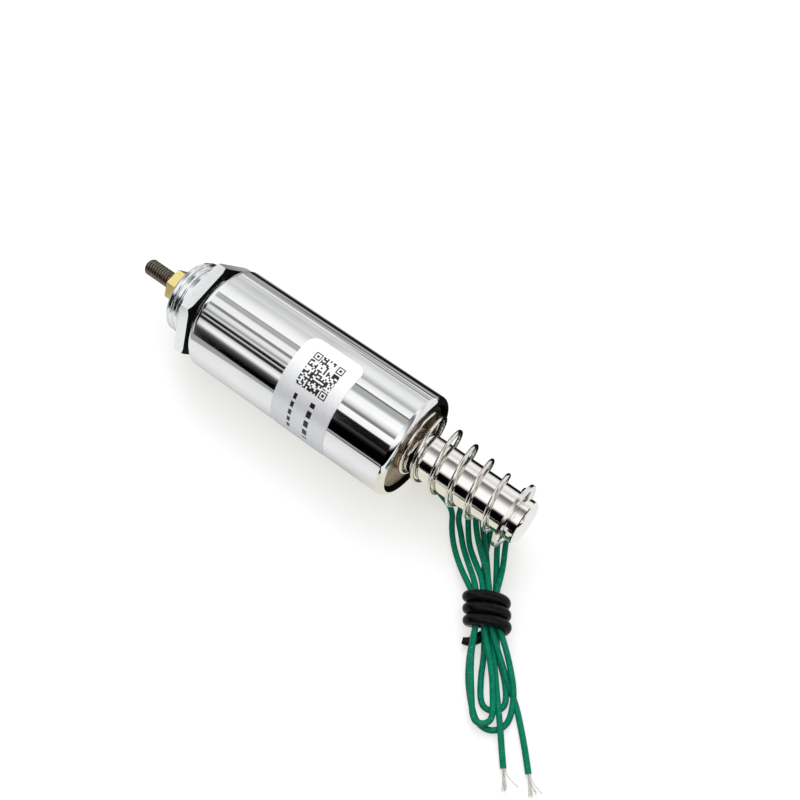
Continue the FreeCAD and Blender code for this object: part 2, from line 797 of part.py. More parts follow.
def hank_section(along, shift, half_width, underside, top):
    """A flat oval across the hank: two straight sides and two round ends."""
    radius = (top - underside) / 2
    level = underside + radius
    reach = half_width - radius
    upper_right = on_hank(along, shift + reach, top)
    upper_left = on_hank(along, shift - reach, top)
    lower_left = on_hank(along, shift - reach, underside)
    lower_right = on_hank(along, shift + reach, underside)
    left = on_hank(along, shift - half_width, level)
    right = on_hank(along, shift + half_width, level)
    edges = [
        Part.LineSegment(upper_right, upper_left).toShape(),
        Part.Arc(upper_left, left, lower_left).toShape(),
        Part.LineSegment(lower_left, lower_right).toShape(),
        Part.Arc(lower_right, right, upper_right).toShape(),
    ]
    return Part.Wire(edges)


def make_lead_hank():
    """The gathered leads as one closed solid: narrow under the tie, spread on the floor at both ends."""
    sections = [hank_section(*section) for section in HANK_SECTIONS]
    hank = doc.addObject("Part::Feature", "lead_hank")
    hank.Shape = Part.makeLoft(sections, True, True)
    hank.Placement = FreeCAD.Placement(cord_origin(), FreeCAD.Rotation())


def make_hank_tie():
    """The tie cord: turns wound round the hank's waist, and a short free end on the floor."""
    radius = value("tie_diameter") / 2
    pitch = value("tie_pitch")
    start = -pitch * TIE_TURNS / 2
    points = []
    for step in range(TIE_TURNS * POINTS_PER_TURN + 1):
        turn = step / POINTS_PER_TURN
        angle = 2 * math.pi * turn
        sideways = -value("tie_half_width") * math.sin(angle)
        height = value("tie_height") - value("tie_half_height") * math.cos(angle)
        points.append(on_hank(start + pitch * turn, sideways, height))
    points += [on_hank(*point) for point in TIE_STUB]
    shape, length = swept(points, radius)
    tie = checked_sweep("hank_tie", shape, radius, length)
    tie.Placement = FreeCAD.Placement(cord_origin(), FreeCAD.Rotation())


def check_document():
    """Stop if any object failed to compute."""
    doc.recompute()
    for item in doc.Objects:
        if "Invalid" in item.State or "Error" in item.State:
            raise RuntimeError(f"{item.Label} failed: {item.State}")


def write_parts():
    """Write each sub-part's shape to its own file."""
    bodies = [item for item in doc.Objects if item.TypeId == "PartDesign::Body"]
    loose = [item for item in doc.Objects if item.TypeId in ("Part::Feature", "Part::Cylinder")]
    for piece in bodies + loose:
        shape = piece.Shape
        if shape.isNull() or not shape.isValid():
            raise RuntimeError(piece.Label + " has no valid shape")
        box = shape.BoundBox
        print(f"{piece.Label}: {len(shape.Solids)} solid, {shape.Volume:.1f} mm3,",
              f"x {box.XMin:.2f} to {box.XMax:.2f}, z {box.ZMin:.2f} to {box.ZMax:.2f}")
        shape.exportStep(f"parts/{piece.Label}.step")


make_can()
make_front_core()
make_rear_cap()
make_lead_grommet()
make_coil()
make_guides()
make_nuts()
make_label()
make_plunger()
make_push_rod()
make_bumper()
make_spring_clip()
make_return_spring()
make_leads()
make_lead_hank()
make_hank_tie()
check_document()
write_parts()
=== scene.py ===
import math

import bpy
from mathutils import Matrix, Vector


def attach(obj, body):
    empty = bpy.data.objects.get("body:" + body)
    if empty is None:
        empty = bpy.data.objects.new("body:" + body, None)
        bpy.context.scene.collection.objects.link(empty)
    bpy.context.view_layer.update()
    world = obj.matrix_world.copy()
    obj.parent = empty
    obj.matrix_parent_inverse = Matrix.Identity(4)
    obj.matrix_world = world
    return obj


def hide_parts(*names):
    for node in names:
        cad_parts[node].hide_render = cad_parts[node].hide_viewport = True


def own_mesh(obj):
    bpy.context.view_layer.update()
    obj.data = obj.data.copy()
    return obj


# Push-pull tubular solenoid, lying on its side with its leads tied in a hank.
# Lengths are in millimetres until they reach a mesh; the axis runs along X.

MM = 0.001
AXIS_Z = 12.5
ROUND = 128
CAN_SIDES = 192

# The return spring in mm: wire, radii of the wire's middle at both ends, rise, turns, and how its base leans off
# centre.
SPRING_WIRE = 0.9
SPRING_BASE = 25.07
SPRING_RISE = 24.96
SPRING_BASE_RADIUS = 7.45
SPRING_TOP_RADIUS = 5.75
SPRING_OPEN_TURNS = 5.25
SPRING_CLOSED_PITCH = 0.96
SPRING_PHASE = math.radians(317)
SPRING_SHIFT = 1.7
SPRING_LEAN = math.radians(25)
SPRING_STEPS = 40

# Print on the label, in mm along the can and round it: the block's bounds, its cells and its corner frames,
# and the rows of dashes beside it as (middle, half width, period).
LABEL_RADIUS = 12.6
PRINT_ALONG = (-1.05, 6.75)
PRINT_AROUND = (19.4, 27.6)
PRINT_CELL = 0.39
FRAME = 1.75
FRAME_LINE = 0.27
FRAME_MARGIN = 0.25
FRAME_DOT = 0.3
PRINT_ROWS = [(0.45, 0.42, 2.1), (4.95, 0.6, 2.6)]
ROW_SPAN = (1.6, 13.4)

# The studio as polished metal mirrors it: angle about the X axis in degrees, from the viewer's far side (+Y)
# over the top, and the brightness that shows there. One list for each part of the object's length.
FLAGS_FRONT = [
    (0, 205), (4, 236), (9, 190), (14, 212), (20, 192), (39, 215), (44, 202), (61, 240),
    (74, 248), (76, 120), (78, 175), (85, 160), (88, 235), (100, 242), (102, 120), (106, 130), (108.5, 232),
    (115, 220), (118, 155), (121, 160), (123, 232), (127, 4), (131, 4), (132.5, 215), (135.5, 40), (140, 40),
    (142.5, 208), (150, 248), (154, 215), (158, 110), (163, 60), (172, 8),
]
FLAGS_REAR = [
    (0, 225), (3.5, 145), (6, 140), (8.5, 228), (14, 200), (28, 232), (40, 236), (46, 212), (52, 178), (56, 185),
    (58, 230), (71, 252), (72.5, 90), (74, 90), (76, 172), (84, 163), (88, 190), (91, 246), (104, 253), (109, 231),
    (114, 192), (117, 122), (121, 122), (122.5, 252), (134.5, 245), (136, 30), (149, 22), (153, 62), (157, 30),
    (162, 4),
]
FLAGS_NOSE = [
    (0, 190), (15, 120), (24, 215), (40, 205), (52, 245), (96, 252), (104, 238), (110, 120), (115, 40), (122, 30),
    (127, 150), (132, 40), (150, 20), (165, 60), (175, 190), (180, 225),
]
FLAGS_PLUNGER = [
    (0, 225), (12, 236), (22, 226), (28, 218), (36, 208), (41, 226), (48, 240), (54, 240), (57, 205), (60, 150),
    (64, 118), (70, 112), (77, 140), (84, 172), (90, 200), (94, 226), (103, 248), (126, 250), (132, 238), (137, 200),
    (141, 110), (144, 40), (147, 6), (180, 5),
]

# Where each later list takes over: the mirrored direction's part along X there, and how wide the parting is.
FLAG_PARTINGS = [(-0.478, 0.008, FLAGS_FRONT), (-0.36, 0.03, FLAGS_REAR), (-0.27, 0.016, FLAGS_PLUNGER)]

# The floor as polished metal mirrors it, across the object in mm, beside the can and beside the plunger: a painted
# reflection, with the object's own shadow painted in as the darker stretches close to the axis.
# The lists reach FLOOR_REACH to each side of the axis.
FLOOR_REACH = 250
FLOOR_BY_CAN = [
    (-250, 0.004), (-186, 0.004), (-172, 0.72), (-60, 0.85), (-30, 0.88), (-20, 0.76), (-12, 0.52), (0, 0.3),
    (12, 0.06), (15, 0.15), (17.5, 0.45), (20.5, 0.5), (25, 0.42), (28.5, 0.24), (32, 0.04), (34, 0.004),
    (52, 0.006), (57, 0.22), (64, 0.42), (84, 0.48), (98, 0.11), (130, 0.11), (160, 0.85), (250, 0.95),
]
FLOOR_BY_PLUNGER = [
    (-250, 0.006), (-66, 0.006), (-54, (0.74, 0.72, 0.58)), (-30, (0.78, 0.77, 0.66)), (-8, (0.78, 0.77, 0.68)),
    (1, (0.7, 0.7, 0.64)), (4, 0.01), (60, 0.006), (72, 0.1), (95, 0.45), (120, 0.85), (250, 0.85),
]

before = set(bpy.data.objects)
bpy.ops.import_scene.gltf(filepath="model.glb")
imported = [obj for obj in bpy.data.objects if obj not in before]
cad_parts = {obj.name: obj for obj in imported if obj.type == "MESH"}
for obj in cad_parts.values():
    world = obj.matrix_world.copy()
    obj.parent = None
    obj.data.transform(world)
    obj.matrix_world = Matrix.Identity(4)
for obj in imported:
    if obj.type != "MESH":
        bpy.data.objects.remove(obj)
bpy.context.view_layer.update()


def add_camera():
    """The camera of the photograph: above, beyond the plunger's end, looking back along the can."""
    camera = bpy.data.objects.new("camera", bpy.data.cameras.new("camera"))
    bpy.context.scene.collection.objects.link(camera)
    camera.location = Vector((90.18, -89.05, 227.6)) * MM
    target = Vector((15.6, 7.13, 13.0)) * MM
    camera.rotation_euler = (target - camera.location).to_track_quat("-Z", "Y").to_euler()
    camera.data.lens = 51.0
    camera.data.sensor_width = 36.0
    camera.data.clip_start = 0.01
    bpy.context.scene.camera = camera


def new_material(name):
    """A new material with its node tree and its shader."""
    material = bpy.data.materials.new(name)
    material.use_nodes = True
    return material, material.node_tree, material.node_tree.nodes["Principled BSDF"]


def node(tree, kind, **settings):
    """A new node in a tree, with its settings."""
    made = tree.nodes.new("ShaderNode" + kind)
    for key, setting in settings.items():
        setattr(made, key, setting)
    return made


def noise(tree, scale, detail=3.0, stretch=(1, 1, 1), distortion=0.0):
    """Noise on object coordinates, with the pattern's scale per millimetre."""
    coordinates = node(tree, "TexCoord")
    mapping = node(tree, "Mapping")
    mapping.inputs["Scale"].default_value = [1000 * share for share in stretch]
    texture = node(tree, "TexNoise")
    texture.inputs["Scale"].default_value = scale
    texture.inputs["Detail"].default_value = detail
    texture.inputs["Distortion"].default_value = distortion
    tree.links.new(coordinates.outputs["Object"], mapping.inputs["Vector"])
    tree.links.new(mapping.outputs["Vector"], texture.inputs["Vector"])
    return texture.outputs["Fac"]


def ramp(tree, source, stops):
    """Colours between places on a ramp."""
    made = node(tree, "ValToRGB")
    elements = made.color_ramp.elements
    while len(elements) < len(stops):
        elements.new(0.5)
    for element, (place, color) in zip(elements, stops):
        element.position = place
        element.color = (*color, 1) if len(color) == 3 else color
    tree.links.new(source, made.inputs["Fac"])
    return made.outputs["Color"]


def spread(tree, source, low, high, begin=0.3, end=0.7):
    """A value's usual range, 0.3 to 0.7 for a texture, spread between two numbers."""
    made = node(tree, "MapRange")
    made.inputs["From Min"].default_value = begin
    made.inputs["From Max"].default_value = end
    made.inputs["To Min"].default_value = low
    made.inputs["To Max"].default_value = high
    tree.links.new(source, made.inputs["Value"])
    return made.outputs["Result"]


def calculated(tree, operation, *terms):
    """A number worked out from sockets or plain numbers."""
    made = node(tree, "Math", operation=operation)
    for socket, term in zip(made.inputs, terms):
        if isinstance(term, (int, float)):
            socket.default_value = term
        else:
            tree.links.new(term, socket)
    return made.outputs["Value"]


def blend(tree, share, first, second):
    """One colour turning into another as a share goes from 0 to 1."""
    mixed = node(tree, "Mix", data_type="RGBA")
    for name, side in (("A", first), ("B", second)):
        if isinstance(side, tuple):
            mixed.inputs[name].default_value = (*side, 1)
        else:
            tree.links.new(side, mixed.inputs[name])
    tree.links.new(share, mixed.inputs["Factor"])
    return mixed.outputs["Result"]


def axes(tree, output):
    """The three coordinates of a texture coordinate output."""
    coordinates = node(tree, "TexCoord")
    parts = node(tree, "SeparateXYZ")
    tree.links.new(coordinates.outputs[output], parts.inputs["Vector"])
    return [parts.outputs[axis] for axis in "XYZ"]


def bump(tree, shader, source, height, strength=1.0):
    """Relief of a height in millimetres."""
    made = node(tree, "Bump")
    made.inputs["Distance"].default_value = height * MM
    made.inputs["Strength"].default_value = strength
    tree.links.new(source, made.inputs["Height"])
    tree.links.new(made.outputs["Normal"], shader.inputs["Normal"])


def grey(level):
    """A colour with the same level in each channel."""
    return (level, level, level)


def shown(stops, scale=1.0):
    """Ramp stops from places and the brightness that each should show, 0 to 255."""
    return [(place * scale, grey((level / 255) ** 2.2 / 0.9)) for place, level in stops]


def metal(name, color, rough, tone=0.06, grain=2.0, relief=0.0, stretch=(1, 1, 1)):
    """Plated metal: a tone that wanders a little, and roughness that follows it."""
    material, tree, shader = new_material(name)
    drift = noise(tree, grain, stretch=stretch)
    dark = [channel * (1 - tone) for channel in color]
    light = [min(1, channel * (1 + tone)) for channel in color]
    tree.links.new(ramp(tree, drift, [(0.3, dark), (0.7, light)]), shader.inputs["Base Color"])
    tree.links.new(spread(tree, drift, rough * 0.75, rough * 1.3), shader.inputs["Roughness"])
    shader.inputs["Metallic"].default_value = 1.0
    if relief:
        bump(tree, shader, noise(tree, grain * 4, stretch=stretch), relief)
    return material


def polished_can():
    """Mirror nickel plate: nearly no relief, with faint cloudiness of the polish."""
    material, tree, shader = new_material("polished_can")
    clouds = noise(tree, 0.18, 4.0, (0.5, 1, 1))
    tree.links.new(ramp(tree, clouds, [(0.3, (0.86, 0.87, 0.88)), (0.7, (0.93, 0.93, 0.93))]),
                   shader.inputs["Base Color"])
    tree.links.new(spread(tree, clouds, 0.035, 0.075), shader.inputs["Roughness"])
    shader.inputs["Metallic"].default_value = 1.0
    bump(tree, shader, noise(tree, 0.35, 2.0, (0.3, 1, 1)), 0.004)
    return material


def cap_metal():
    """Satin plate of the rear cap, dark taupe with orange-brown patches."""
    material, tree, shader = new_material("cap_metal")
    patches = noise(tree, 0.42, 3.0)
    tree.links.new(ramp(tree, patches, [
        (0.36, (0.2, 0.15, 0.1)), (0.5, (0.3, 0.23, 0.155)), (0.57, (0.33, 0.25, 0.165)), (0.64, (0.5, 0.19, 0.06)),
        (0.7, (0.34, 0.22, 0.13)),
    ]), shader.inputs["Base Color"])
    tree.links.new(spread(tree, noise(tree, 3.0), 0.24, 0.4), shader.inputs["Roughness"])
    shader.inputs["Metallic"].default_value = 0.85
    bump(tree, shader, noise(tree, 5.0), 0.01)
    return material


def painted_shade_metal(name, level):
    """Painted shade: near-black dulled metal that stands in for the unlit dark of a deep groove or a clamped face."""
    material, tree, shader = new_material(name)
    shade_mottle = noise(tree, 2.0)
    tree.links.new(ramp(tree, shade_mottle, [(0.3, grey(level)), (0.7, grey(level * 2))]), shader.inputs["Base Color"])
    tree.links.new(spread(tree, shade_mottle, 0.45, 0.7), shader.inputs["Roughness"])
    shader.inputs["Specular IOR Level"].default_value = 0.1
    return material


def rubber(name, color, rough, relief):
    """Rubber, plastic or tape: a fine grain in its tone, its roughness and its relief."""
    material, tree, shader = new_material(name)
    grain = noise(tree, 6.0, 5.0)
    light = [channel * 1.6 for channel in color]
    tree.links.new(ramp(tree, grain, [(0.3, color), (0.7, light)]), shader.inputs["Base Color"])
    tree.links.new(spread(tree, grain, rough * 0.85, rough * 1.15), shader.inputs["Roughness"])
    shader.inputs["Specular IOR Level"].default_value = 0.5
    bump(tree, shader, grain, relief)
    return material


def lead_insulation():
    """Deep green silicone rubber, with a soft gloss and scattered bright specks that are painted highlights."""
    material, tree, shader = new_material("lead_insulation")
    drift = noise(tree, 0.8, 2.0)
    base = ramp(tree, drift, [(0.3, (0.0, 0.15, 0.082)), (0.7, (0.0, 0.2, 0.112))])
    painted_glints = ramp(tree, noise(tree, 4.5, 1.0, (0.5, 1, 1)), [(0.7, grey(0)), (0.76, grey(1))])
    tree.links.new(blend(tree, painted_glints, base, (0.12, 0.52, 0.4)), shader.inputs["Base Color"])
    tree.links.new(spread(tree, drift, 0.2, 0.3), shader.inputs["Roughness"])
    shader.inputs["Specular IOR Level"].default_value = 0.12
    bump(tree, shader, noise(tree, 1.6, 2.0), 0.015)
    return material


def tie_plastic():
    """Black soft plastic of the tie, glossy with flow marks."""
    material, tree, shader = new_material("tie_plastic")
    drift = noise(tree, 0.8, 3.0)
    tree.links.new(ramp(tree, drift, [(0.3, grey(0.002)), (0.7, grey(0.007))]), shader.inputs["Base Color"])
    tree.links.new(spread(tree, drift, 0.16, 0.3), shader.inputs["Roughness"])
    shader.inputs["Specular IOR Level"].default_value = 0.13
    bump(tree, shader, noise(tree, 1.2, 2.0), 0.02)
    return material


def label_paper():
    """White satin film with faint fibres and a generic print: a block of random cells, and rows of dashes."""
    material, tree, shader = new_material("label_paper")
    fibres = noise(tree, 4.0, 6.0)
    film = ramp(tree, fibres, [(0.3, (0.94, 0.945, 0.96)), (0.7, (0.98, 0.985, 1.0))])
    along, across, up = axes(tree, "Object")
    along = calculated(tree, "MULTIPLY", along, 1 / MM)
    angle = calculated(tree, "ARCTAN2", calculated(tree, "SUBTRACT", up, AXIS_Z * MM), across)
    around = calculated(tree, "MULTIPLY", angle, LABEL_RADIUS)
    rows = [print_row(tree, along, around, *row) for row in PRINT_ROWS]
    ink = calculated(tree, "MAXIMUM", print_block(tree, along, around), calculated(tree, "MAXIMUM", *rows))
    tree.links.new(blend(tree, ink, film, grey(0.012)), shader.inputs["Base Color"])
    tree.links.new(calculated(tree, "MULTIPLY", calculated(tree, "SUBTRACT", 1.0, ink), 0.3),
                   shader.inputs["Metallic"])
    tree.links.new(spread(tree, fibres, 0.26, 0.34), shader.inputs["Roughness"])
    bump(tree, shader, fibres, 0.004)
    return material


def within(tree, value, low, high):
    """1 where a value lies between two bounds, else 0."""
    above = calculated(tree, "GREATER_THAN", value, low)
    return calculated(tree, "MULTIPLY", above, calculated(tree, "LESS_THAN", value, high))


def print_block(tree, along, around):
    """A square of random cells with a framed square in three of its corners."""
    low, high = PRINT_ALONG
    bottom, top = PRINT_AROUND
    cells = node(tree, "CombineXYZ")
    tree.links.new(calculated(tree, "FLOOR", calculated(tree, "DIVIDE", along, PRINT_CELL)), cells.inputs["X"])
    tree.links.new(calculated(tree, "FLOOR", calculated(tree, "DIVIDE", around, PRINT_CELL)), cells.inputs["Y"])
    random = node(tree, "TexWhiteNoise", noise_dimensions="2D")
    tree.links.new(cells.outputs["Vector"], random.inputs["Vector"])
    ink = calculated(tree, "GREATER_THAN", random.outputs["Value"], 0.46)
    for corner_along, corner_around in ((low, bottom), (high, bottom), (high, top)):
        inward = FRAME / 2 if corner_along == low else -FRAME / 2
        lifted = FRAME / 2 if corner_around == bottom else -FRAME / 2
        reach = calculated(
            tree, "MAXIMUM",
            calculated(tree, "ABSOLUTE", calculated(tree, "SUBTRACT", along, corner_along + inward)),
            calculated(tree, "ABSOLUTE", calculated(tree, "SUBTRACT", around, corner_around + lifted)),
        )
        outside = calculated(tree, "GREATER_THAN", reach, FRAME / 2 + FRAME_MARGIN)
        frame_line = within(tree, reach, FRAME / 2 - FRAME_LINE, FRAME / 2)
        centre = calculated(tree, "LESS_THAN", reach, FRAME_DOT)
        ink = calculated(tree, "MAXIMUM", calculated(tree, "MULTIPLY", ink, outside),
                         calculated(tree, "MAXIMUM", frame_line, centre))
    inside = calculated(tree, "MULTIPLY", within(tree, along, low, high), within(tree, around, bottom, top))
    return calculated(tree, "MULTIPLY", ink, inside)


def print_row(tree, along, around, middle, half, period):
    """A row of plain dashes round the can."""
    place = calculated(tree, "FRACT", calculated(tree, "DIVIDE", around, period))
    dash = calculated(tree, "LESS_THAN", place, 0.66)
    row = within(tree, along, middle - half, middle + half)
    length = within(tree, around, PRINT_AROUND[1] + ROW_SPAN[0], PRINT_AROUND[1] + ROW_SPAN[1])
    return calculated(tree, "MULTIPLY", dash, calculated(tree, "MULTIPLY", row, length))


def floor_surface():
    """Pale plain floor: white to the camera but for the object's shadow; to mirrors it shows only a painted glow in
    light and dark strips, with the object's shadow painted in.
    """
    material, tree, shader = new_material("floor_surface")
    shader.inputs["Roughness"].default_value = 0.9
    shader.inputs["Specular IOR Level"].default_value = 0.0
    shader.inputs["Base Color"].default_value = (0.40, 0.42, 0.48, 1)
    glow = node(tree, "Emission")
    glow.inputs["Color"].default_value = (0.6, 0.586, 0.53, 1)
    pale = node(tree, "AddShader")
    tree.links.new(shader.outputs["BSDF"], pale.inputs[0])
    tree.links.new(glow.outputs["Emission"], pale.inputs[1])
    along, across, _ = axes(tree, "Object")
    slanted = calculated(tree, "ADD", across, calculated(tree, "MULTIPLY", along, 0.1))
    reach = FLOOR_REACH * MM
    by_can = ramp(tree, spread(tree, slanted, 0, 1, -reach, reach), floor_stops(FLOOR_BY_CAN))
    by_plunger = ramp(tree, spread(tree, across, 0, 1, -reach, reach), floor_stops(FLOOR_BY_PLUNGER))
    painted_mirror_glow = node(tree, "Emission")
    beside = blend(tree, spread(tree, along, 0, 1, 0.014, 0.022), by_can, by_plunger)
    beside = blend(tree, spread(tree, along, 0, 1, -0.07, -0.062), grey(0.36), beside)
    tree.links.new(blend(tree, spread(tree, along, 0, 1, 0.049, 0.052), beside, grey(0.86)), painted_mirror_glow.inputs["Color"])
    rays = node(tree, "LightPath")
    seen = node(tree, "MixShader")
    tree.links.new(rays.outputs["Is Camera Ray"], seen.inputs["Fac"])
    tree.links.new(shader.outputs["BSDF"], seen.inputs[1])
    tree.links.new(pale.outputs["Shader"], seen.inputs[2])
    mirrored = node(tree, "MixShader")
    tree.links.new(rays.outputs["Is Glossy Ray"], mirrored.inputs["Fac"])
    tree.links.new(seen.outputs["Shader"], mirrored.inputs[1])
    tree.links.new(painted_mirror_glow.outputs["Emission"], mirrored.inputs[2])
    tree.links.new(mirrored.outputs["Shader"], tree.nodes["Material Output"].inputs["Surface"])
    return material


def floor_stops(places):
    """Ramp stops from places in millimetres across the floor, with plain numbers as greys."""
    return [
        ((place + FLOOR_REACH) / (2 * FLOOR_REACH), color if isinstance(color, tuple) else grey(color))
        for place, color in places
    ]


def mesh_object(name):
    """The active object under its own name, with its place taken into its mesh."""
    made = bpy.context.object
    made.name = name
    made.data.name = name
    bpy.ops.object.transform_apply(location=True, rotation=True, scale=True)
    return made


def start(piece=None):
    """Leave edit mode, with nothing selected but the piece to work on."""
    if bpy.context.object and bpy.context.object.mode != "OBJECT":
        bpy.ops.object.mode_set(mode="OBJECT")
    bpy.ops.object.select_all(action="DESELECT")
    if piece:
        piece.select_set(True)
        bpy.context.view_layer.objects.active = piece


def dress(piece, material, body, slot, *nodes):
    """Give a piece its material, its body and the nodes that it stands for."""
    piece.data.materials.clear()
    piece.data.materials.append(material)
    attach(piece, body)
    if nodes:
        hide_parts(*nodes)
    return piece


def shaded(piece, material, chosen):
    """Give a second material to the faces that are chosen."""
    piece.data.materials.append(material)
    for face in piece.data.polygons:
        if chosen(face):
            face.material_index = 1


def off_axis(face):
    """How far a face's middle lies from the object's axis, in mm."""
    return math.hypot(face.center.y, face.center.z - AXIS_Z * MM) / MM


def turned(name, stations, sides=ROUND):
    """A turned piece: rings extruded from station to station, (along, radius) in mm.

    Stations that end where they start make a ring; otherwise both ends are closed as flat discs."""
    start()
    along, radius = stations[0]
    bpy.ops.mesh.primitive_circle_add(
        vertices=sides, radius=radius * MM, location=(along * MM, 0, AXIS_Z * MM), rotation=(0, math.pi / 2, 0)
    )
    piece = mesh_object(name)
    bpy.ops.object.mode_set(mode="EDIT")
    bpy.ops.mesh.select_mode(type="EDGE")
    bpy.ops.mesh.select_all(action="SELECT")
    for next_along, next_radius in stations[1:]:
        bpy.ops.mesh.extrude_edges_move(TRANSFORM_OT_translate={"value": ((next_along - along) * MM, 0, 0)})
        share = next_radius / radius
        bpy.ops.transform.resize(value=(1, share, share), center_override=(next_along * MM, 0, AXIS_Z * MM))
        along, radius = next_along, next_radius
    bpy.ops.mesh.select_all(action="SELECT")
    bpy.ops.mesh.remove_doubles(threshold=1e-6)
    if stations[-1] != stations[0]:
        bpy.ops.mesh.fill_holes(sides=0)
    bpy.ops.mesh.select_all(action="SELECT")
    bpy.ops.mesh.normals_make_consistent(inside=False)
    bpy.ops.object.mode_set(mode="OBJECT")
    return piece


def bevelled(piece, width, segments=3, angle=30):
    """Break a piece's sharp edges, then shade it smooth between them."""
    start(piece)
    modifier = piece.modifiers.new("edges", "BEVEL")
    modifier.width = width * MM
    modifier.segments = segments
    modifier.limit_method = "ANGLE"
    modifier.angle_limit = math.radians(angle)
    bpy.ops.object.modifier_apply(modifier="edges")
    smooth(piece)
    return piece


def smooth(piece, angle=35):
    """Shade smooth up to an angle, with the wide faces keeping their own normals."""
    start(piece)
    bpy.ops.object.shade_smooth_by_angle(angle=math.radians(angle))
    modifier = piece.modifiers.new("normals", "WEIGHTED_NORMAL")
    modifier.weight = 100
    modifier.keep_sharp = True
    bpy.ops.object.modifier_apply(modifier="normals")


def combined(piece, cutter, operation):
    """Cut one mesh with another and drop the cutter."""
    start(piece)
    modifier = piece.modifiers.new("cut", "BOOLEAN")
    modifier.operation = operation
    modifier.solver = "EXACT"
    modifier.object = cutter
    bpy.ops.object.modifier_apply(modifier="cut")
    bpy.data.objects.remove(cutter, do_unlink=True)
    return piece


def rounded(along, radius, size, begin, end, steps=6):
    """Stations of a rounded corner about a centre, between two angles from +X towards outward."""
    return [
        (
            along + size * math.cos(math.radians(begin + (end - begin) * step / steps)),
            radius + size * math.sin(math.radians(begin + (end - begin) * step / steps)),
        )
        for step in range(steps + 1)
    ]


# Route points of the leads in the object's frame, in mm: out of the grommet, down to the floor,
# and then to and fro through the tie. A point in the hank is (along, across, height) from its middle,
# and the hank lies along HANK_AHEAD on the floor.
HANK_AT = (56.7, -16.8)
HANK_AHEAD = (0.6, -0.8)

LEAD_A_START = [(24.6, -0.75, 3.25), (28.9, -0.75, 3.25), (33.3, -0.9, 1.3), (37.3, -2.0, 0.7)]
LEAD_A_HANK = [
    (-19.0, -7.0, 0.7), (-14.5, -6.5, 0.9), (-10.0, -5.3, 1.7), (-6.5, -4.0, 2.6),
    (-2.5, -2.3, 3.15), (2.5, -2.1, 3.15),
    (6.0, -2.9, 2.8), (9.0, -3.5, 1.9), (12.0, -3.8, 1.1), (15.0, -3.8, 0.66), (19.0, -3.3, 0.66), (22.6, -2.3, 0.66),
    (24.3, 0.6, 0.66), (23.0, 3.8, 0.66), (19.3, 5.0, 1.0), (16.0, 5.2, 1.9), (12.0, 4.6, 2.6), (8.0, 3.7, 3.2),
    (5.0, 2.7, 4.0), (1.5, 2.0, 4.4), (-3.2, 2.0, 4.4),
    (-6.5, 3.0, 3.7), (-10.0, 3.8, 2.8), (-14.5, 4.4, 2.2), (-18.5, 5.1, 2.0), (-23.45, 5.4, 2.0),
    (-25.2, 3.65, 2.0), (-25.2, 1.25, 2.0), (-23.45, -0.5, 2.0),
    (-18.0, -0.3, 2.0), (-13.0, 0.3, 2.0), (-8.5, 0.5, 2.3), (-5.0, 0.6, 2.9),
    (-1.0, 0.65, 3.15), (3.2, 0.65, 3.1),
    (7.0, 1.0, 2.5), (11.0, 1.4, 2.1), (15.5, 1.7, 2.0), (19.0, 1.9, 2.1), (23.0, 2.2, 2.1), (25.6, 2.4, 1.4),
    (28.0, 2.55, 0.75), (31.2, 2.75, 0.66),
]
LEAD_B_START = [(24.6, 0.75, 3.25), (29.0, 0.75, 3.25), (34.0, 0.95, 1.35), (38.2, 0.3, 0.68)]
LEAD_B_HANK = [
    (-21.6, -5.6, 0.7), (-18.0, -5.0, 1.0), (-14.5, -4.6, 1.4), (-10.2, -3.5, 2.4), (-6.8, -2.6, 3.5),
    (-3.2, -2.0, 4.3), (2.0, -2.0, 4.45),
    (6.0, -2.8, 4.1), (9.5, -3.3, 3.2), (13.0, -3.4, 2.4), (17.0, -3.3, 2.0),
    (21.75, -3.2, 1.95), (22.95, -2.05, 2.0),
    (22.95, -0.35, 2.1), (21.75, 0.85, 2.3),
    (17.5, 0.9, 2.8), (14.5, 0.85, 3.1), (11.0, 0.5, 3.5), (8.0, -0.1, 3.9), (5.0, -0.6, 4.3),
    (2.0, -0.7, 4.45), (-3.2, -0.65, 4.45),
    (-6.8, -0.9, 3.7), (-10.5, -2.1, 2.6), (-14.5, -3.2, 1.5), (-18.5, -3.4, 0.8), (-23.3, -3.3, 0.66),
    (-24.95, -1.65, 0.66), (-24.95, 0.65, 0.66), (-23.3, 2.3, 0.66),
    (-18.0, 1.3, 0.66), (-13.0, 0.2, 0.66), (-8.5, -0.3, 1.4), (-5.2, -0.55, 2.5),
    (-1.5, -0.65, 3.15), (3.2, -0.65, 3.1),
    (6.5, -0.5, 2.4), (10.0, -0.7, 1.3), (13.5, -1.3, 0.66),
    (18.55, -1.5, 0.66), (20.1, 0.05, 0.66), (20.1, 2.25, 0.66),
    (18.55, 3.8, 0.66), (14.0, 3.6, 0.66), (10.5, 2.6, 1.3), (7.0, 1.95, 2.4), (3.2, 1.95, 3.1), (-3.2, 1.95, 3.1),
    (-6.5, 2.2, 2.8), (-10.0, 2.4, 2.4), (-14.0, 2.6, 2.3), (-17.5, 3.0, 3.0), (-21.4, 3.2, 3.3),
    (-22.9, 1.7, 3.3), (-22.9, -0.5, 3.3), (-21.4, -2.0, 3.3),
    (-16.5, -1.7, 3.3), (-12.5, -0.9, 3.5), (-8.5, 0.1, 4.1), (-5.5, 0.5, 4.4),
    (-1.5, 0.65, 4.5), (2.5, 0.7, 4.4),
    (5.5, 1.1, 3.9), (9.0, 2.3, 2.9), (12.0, 3.3, 1.8), (15.5, 4.4, 0.9), (19.0, 5.7, 0.66), (23.5, 6.5, 0.66),
    (28.3, 7.2, 0.66), (32.2, 7.6, 0.66),
]

